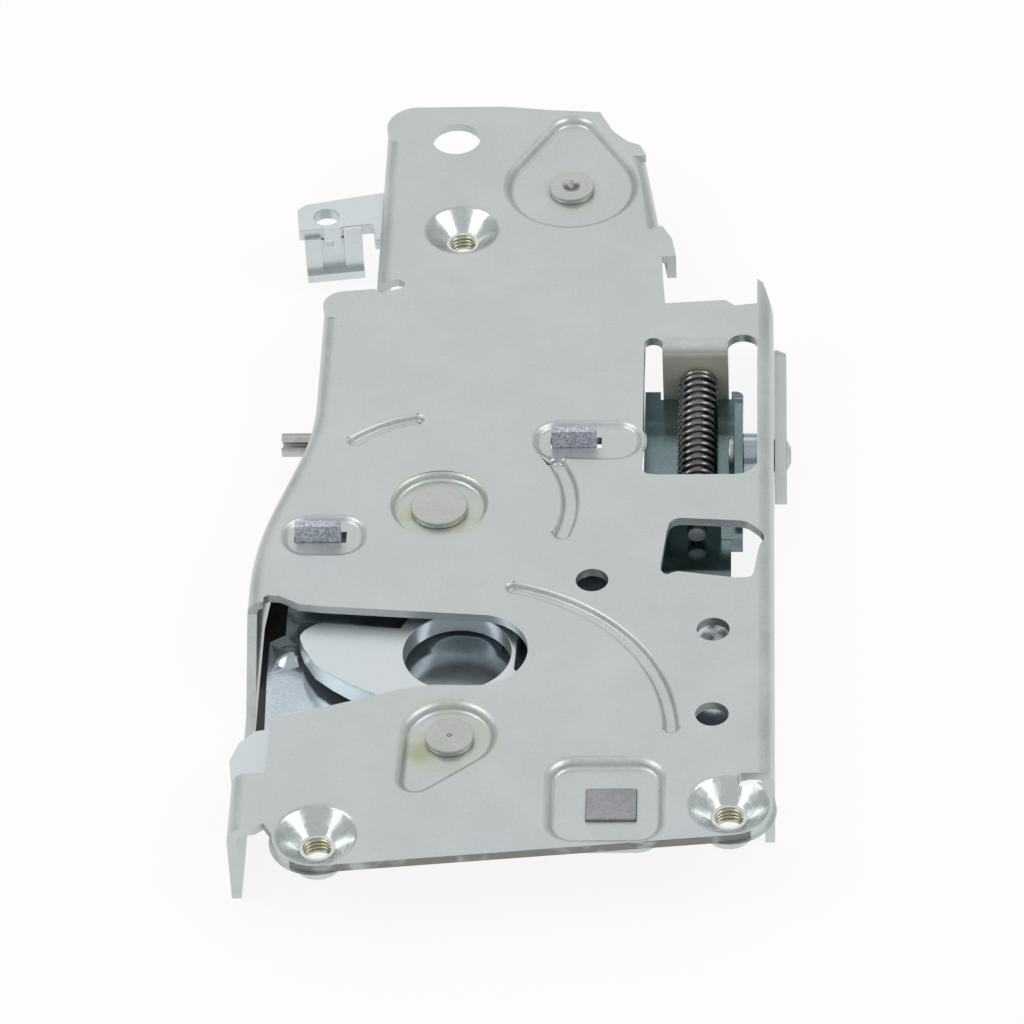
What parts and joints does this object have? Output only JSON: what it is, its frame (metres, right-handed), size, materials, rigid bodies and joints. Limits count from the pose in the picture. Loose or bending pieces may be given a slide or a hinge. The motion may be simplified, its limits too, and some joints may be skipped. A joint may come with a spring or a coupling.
{
  "type": "door latch",
  "caption": "Vehicle door latch with a folded sheet case, a rotating claw across a side mouth, a pawl, a release lever with rod clip and a spring-loaded lock lever",
  "frame": {"origin": "centre of the mouth's round end on the front face, where the striker bar comes to rest", "axes": "+X to the right of the case, away from the side the striker enters; +Y up the case, along its longest extent; +Z out of the front face"},
  "size_m": [0.0976, 0.2069, 0.0199],
  "materials": {
    "case_zinc": "zinc plated sheet, satin",
    "plate_zinc": "bright zinc plated sheet",
    "lever_zinc": "blue bright zinc plated",
    "rivet_steel": "formed steel, dull",
    "dark_steel": "dark passivated sheet",
    "spring_steel": "oiled black spring wire",
    "sleeve_plastic": "black bearing plastic"
  },
  "bodies": {
    "case": {"front_plate": "case_zinc", "back_plate": "plate_zinc", "stake_block": "rivet_steel", "claw_pivot": "rivet_steel", "pawl_pivot": "rivet_steel", "release_pivot": "rivet_steel", "release_washer": "plate_zinc"},
    "claw": {"claw": "lever_zinc", "claw_sleeve": "sleeve_plastic", "claw_spring": "spring_steel"},
    "pawl": {"pawl": "plate_zinc", "pawl_arm": "plate_zinc", "arm_rivets": "rivet_steel", "roll_pin": "rivet_steel", "pawl_link_pin": "rivet_steel", "pawl_spring": "spring_steel"},
    "release_lever": {"release_lever": "lever_zinc", "lever_link_pin": "rivet_steel", "rod_clip": "lever_zinc", "release_spring": "spring_steel"},
    "release_link": {"release_link": "plate_zinc"},
    "lock_lever": {"lock_lever": "dark_steel", "lock_shaft": "rivet_steel", "lock_bush": "plate_zinc", "side_lever": "case_zinc"},
    "spring_guide": {"spring_guide": "rivet_steel", "toggle_spring": "spring_steel"}
  },
  "joints": [
    {"name": "claw_turn", "type": "hinge", "parent": "case", "child": "claw", "pos_m": [-0.004, -0.021, -0.0056], "axis": [0, 0, 1], "range_deg": [-84, 0], "stiffness_Nm_per_rad": 0.02},
    {"name": "release_turn", "type": "hinge", "parent": "case", "child": "release_lever", "pos_m": [0.0137, 0.1293, -0.00485], "axis": [0, 0, 1], "range_deg": [-7.8, 13], "stiffness_Nm_per_rad": 0.2},
    {"name": "pawl_turn", "type": "hinge", "parent": "case", "child": "pawl", "pos_m": [-0.0081, 0.0384, -0.0056], "axis": [0, 0, 1], "range_deg": [-4.7, 7.9]},
    {"name": "link_slide", "type": "slide", "parent": "case", "child": "release_link", "axis": [0, 1, 0], "range_m": [-0.00152, 0.00253]},
    {"name": "lock_turn", "type": "hinge", "parent": "case", "child": "lock_lever", "pos_m": [0.0522, 0.0633, -0.0112], "axis": [1, 0, 0], "range_deg": [-6, 0], "stiffness_Nm_per_rad": 0.05},
    {"name": "guide_swing", "type": "hinge", "parent": "case", "child": "spring_guide", "pos_m": [0.0382, 0.0822, -0.0085], "axis": [1, 0, 0], "range_deg": [-3.4, 0]}
  ],
  "couplings": [
    {"joint": "pawl_turn", "follows": "release_turn", "ratio": 0.6},
    {"joint": "link_slide", "follows": "release_turn", "m_per_rad": 0.0111},
    {"joint": "guide_swing", "follows": "lock_turn", "ratio": 0.551}
  ]
}
